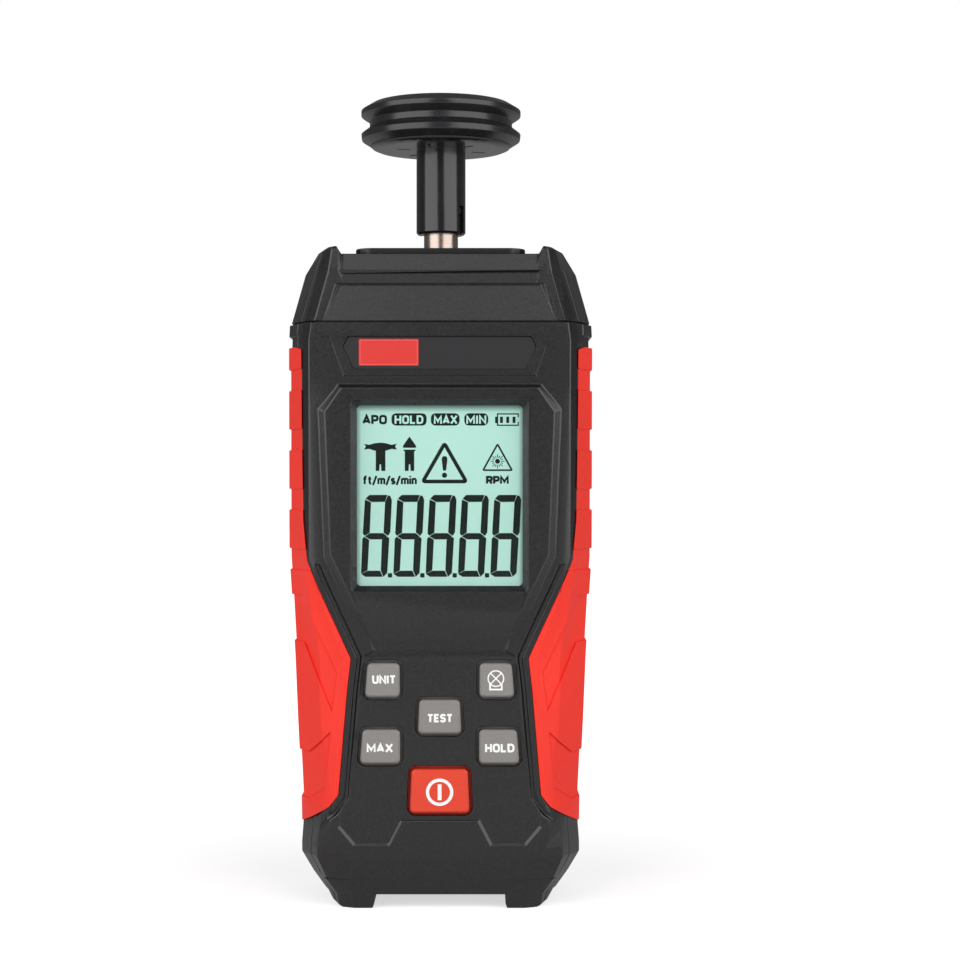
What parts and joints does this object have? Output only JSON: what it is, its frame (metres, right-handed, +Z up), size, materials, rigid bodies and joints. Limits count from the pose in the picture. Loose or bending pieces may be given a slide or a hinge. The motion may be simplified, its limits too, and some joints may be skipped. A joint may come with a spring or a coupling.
{
  "type": "contact tachometer",
  "caption": "Hand-held contact tachometer: slim black case with red side grips, display and rubber-tyred surface-speed wheel on its top shaft.",
  "frame": {"origin": "on the standing surface, under the axis of the measuring shaft", "axes": "+Z up along the shaft, +X to the right of the display as read, the display faces -Y"},
  "size_m": [0.06, 0.0318, 0.1581],
  "materials": {
    "case_plastic": "fine-grained black injection moulding",
    "grip_rubber": "smooth satin red overmould",
    "badge_print": "smooth printed film, bare dark field and a plain red panel",
    "clear_window": "clear polished window",
    "display_glass": "pale green liquid crystal panel",
    "light_guide": "milky diffuser",
    "white_plastic": "moulded white",
    "contact_rubber": "layered conductive rubber",
    "circuit_board": "green solder mask",
    "black_component": "moulded black",
    "component_metal": "tinned cans",
    "grey_key": "satin warm grey",
    "red_key": "satin red",
    "carrier_plastic": "moulded dark grey",
    "bearing_steel": "ground",
    "nickel": "bright nickel",
    "dark_steel": "black oxide",
    "disc_plastic": "black film",
    "adapter_plastic": "glossy black",
    "tyre_rubber": "satin black rubber",
    "cell_jacket": "plain grey jacket",
    "spring_steel": "nickel-plated strip",
    "screw_steel": "zinc-plated"
  },
  "bodies": {
    "case": {"front_housing": "case_plastic", "rear_housing": "case_plastic", "head_front": "case_plastic", "head_rear": "case_plastic", "collar_plate": "case_plastic", "grip_left": "grip_rubber", "grip_right": "grip_rubber", "badge_plate": "badge_print", "display_window": "clear_window", "lcd_panel": "display_glass", "backlight": "light_guide", "lcd_holder": "white_plastic", "contact_strips": "contact_rubber", "main_board": "circuit_board", "sensor_board": "circuit_board", "controller_chip": "black_component", "key_switches": "black_component", "light_barrier": "black_component", "board_connector": "black_component", "board_parts": "component_metal", "bearing_block": "carrier_plastic", "upper_bearing": "bearing_steel", "lower_bearing": "bearing_steel", "battery_left": "cell_jacket", "battery_middle": "cell_jacket", "battery_right": "cell_jacket", "contact_springs": "spring_steel", "contact_plates": "spring_steel", "case_screws": "screw_steel", "head_screws": "screw_steel", "board_screws": "screw_steel", "block_screws": "screw_steel"},
    "rotor": {"drive_shaft": "nickel", "drive_pin": "dark_steel", "shaft_clip": "dark_steel", "encoder_disc": "disc_plastic"},
    "adapter": {"wheel_hub": "adapter_plastic", "wheel_tyre": "tyre_rubber"},
    "door": {"battery_door": "case_plastic", "door_screw": "screw_steel"},
    "key_unit": {"button_unit": "grey_key"},
    "key_lamp": {"button_lamp": "grey_key"},
    "key_test": {"button_test": "grey_key"},
    "key_max": {"button_max": "grey_key"},
    "key_hold": {"button_hold": "grey_key"},
    "key_power": {"button_power": "red_key"}
  },
  "joints": [
    {"name": "shaft_spin", "type": "hinge", "parent": "case", "child": "rotor", "pos_m": [0, 0, 0.115], "axis": [0, 0, 1], "continuous": true},
    {"name": "adapter_pull", "type": "slide", "parent": "rotor", "child": "adapter", "axis": [0, 0, 1], "range_m": [0, 0.014]},
    {"name": "door_lift", "type": "slide", "parent": "case", "child": "door", "axis": [0, 1, 0], "range_m": [0, 0.012]},
    {"name": "press_unit", "type": "slide", "parent": "case", "child": "key_unit", "axis": [0, 1, 0], "range_m": [0, 0.0008], "stiffness_N_per_m": 600, "springref_m": -0.001},
    {"name": "press_lamp", "type": "slide", "parent": "case", "child": "key_lamp", "axis": [0, 1, 0], "range_m": [0, 0.0008], "stiffness_N_per_m": 600, "springref_m": -0.001},
    {"name": "press_test", "type": "slide", "parent": "case", "child": "key_test", "axis": [0, 1, 0], "range_m": [0, 0.0008], "stiffness_N_per_m": 600, "springref_m": -0.001},
    {"name": "press_max", "type": "slide", "parent": "case", "child": "key_max", "axis": [0, 1, 0], "range_m": [0, 0.0008], "stiffness_N_per_m": 600, "springref_m": -0.001},
    {"name": "press_hold", "type": "slide", "parent": "case", "child": "key_hold", "axis": [0, 1, 0], "range_m": [0, 0.0008], "stiffness_N_per_m": 600, "springref_m": -0.001},
    {"name": "press_power", "type": "slide", "parent": "case", "child": "key_power", "axis": [0, 1, 0], "range_m": [0, 0.0008], "stiffness_N_per_m": 600, "springref_m": -0.001}
  ]
}
